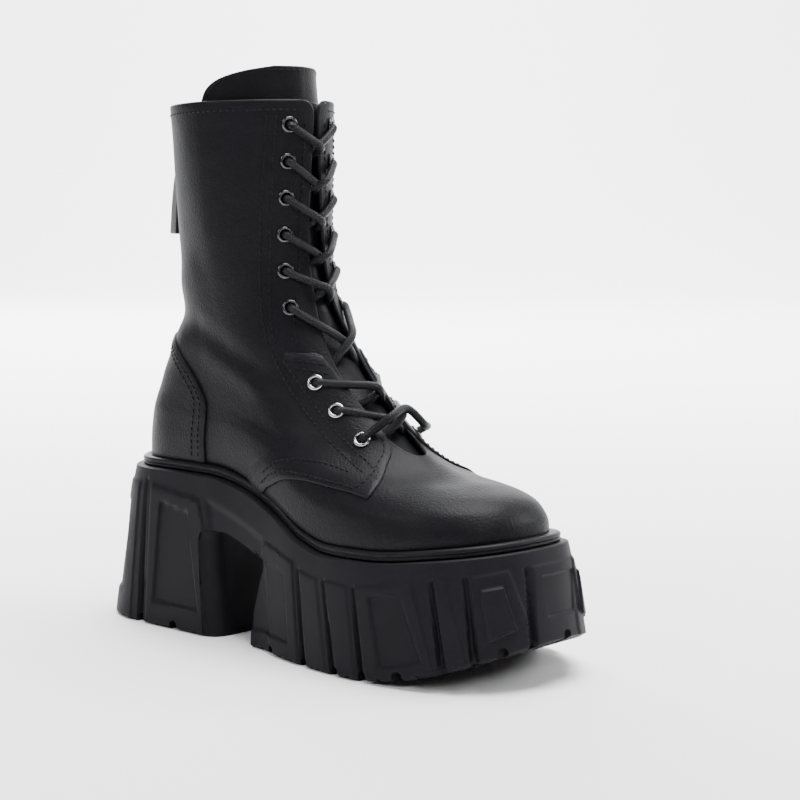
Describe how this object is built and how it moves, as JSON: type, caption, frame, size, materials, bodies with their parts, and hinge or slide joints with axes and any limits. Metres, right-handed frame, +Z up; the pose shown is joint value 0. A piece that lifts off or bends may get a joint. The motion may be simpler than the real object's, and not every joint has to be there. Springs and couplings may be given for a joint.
{
  "type": "platform boot",
  "caption": "Lace-up ankle boot with a high block heel, a thick platform sole with carved side wall, an inside zip and a wide tongue.",
  "frame": {"origin": "middle of the boot's footprint, on the floor plane that the heel and forefoot stand on", "axes": "+X towards the toe, +Y towards the inside (medial side) of the right foot, +Z up"},
  "size_m": [0.2782, 0.1116, 0.2765],
  "materials": {
    "leather": "black smooth faux leather, fine grain, satin",
    "sole_rubber": "black moulded rubber, matt",
    "welt_rubber": "black moulded strip, satin",
    "lining_cloth": "black textile, matt",
    "eyelet_metal": "gunmetal nickel, gloss",
    "zip_metal": "nickel, gloss",
    "zip_cloth": "woven tape, matt",
    "lace_cord": "round waxed cord, slight sheen"
  },
  "bodies": {
    "boot": {"sole": "sole_rubber", "welt": "welt_rubber", "insole": "lining_cloth", "upper": "leather", "heel_counter": "leather", "tongue": "leather", "eyelet_lateral_1": "eyelet_metal", "eyelet_lateral_2": "eyelet_metal", "eyelet_lateral_3": "eyelet_metal", "eyelet_lateral_4": "eyelet_metal", "eyelet_lateral_5": "eyelet_metal", "eyelet_lateral_6": "eyelet_metal", "eyelet_lateral_7": "eyelet_metal", "eyelet_lateral_8": "eyelet_metal", "eyelet_lateral_9": "eyelet_metal", "eyelet_medial_1": "eyelet_metal", "eyelet_medial_2": "eyelet_metal", "eyelet_medial_3": "eyelet_metal", "eyelet_medial_4": "eyelet_metal", "eyelet_medial_5": "eyelet_metal", "eyelet_medial_6": "eyelet_metal", "eyelet_medial_7": "eyelet_metal", "eyelet_medial_8": "eyelet_metal", "eyelet_medial_9": "eyelet_metal", "lace_bar": "lace_cord", "lace_cross_1": "lace_cord", "lace_cross_2": "lace_cord", "lace_cross_3": "lace_cord", "lace_cross_4": "lace_cord", "lace_cross_5": "lace_cord", "lace_cross_6": "lace_cord", "lace_cross_7": "lace_cord", "lace_cross_8": "lace_cord", "zip_tape": "zip_cloth", "zip_chain": "zip_metal", "zip_slider": "zip_metal", "pull_loop": "leather"},
    "zip_pull": {"zip_pull": "zip_metal"}
  },
  "joints": [
    {"name": "zip_pull_hinge", "type": "hinge", "parent": "boot", "child": "zip_pull", "pos_m": [-0.05238, 0.04168, 0.24645], "axis": [0.9995, -0.0305, 0], "range_deg": [0, 160]}
  ]
}
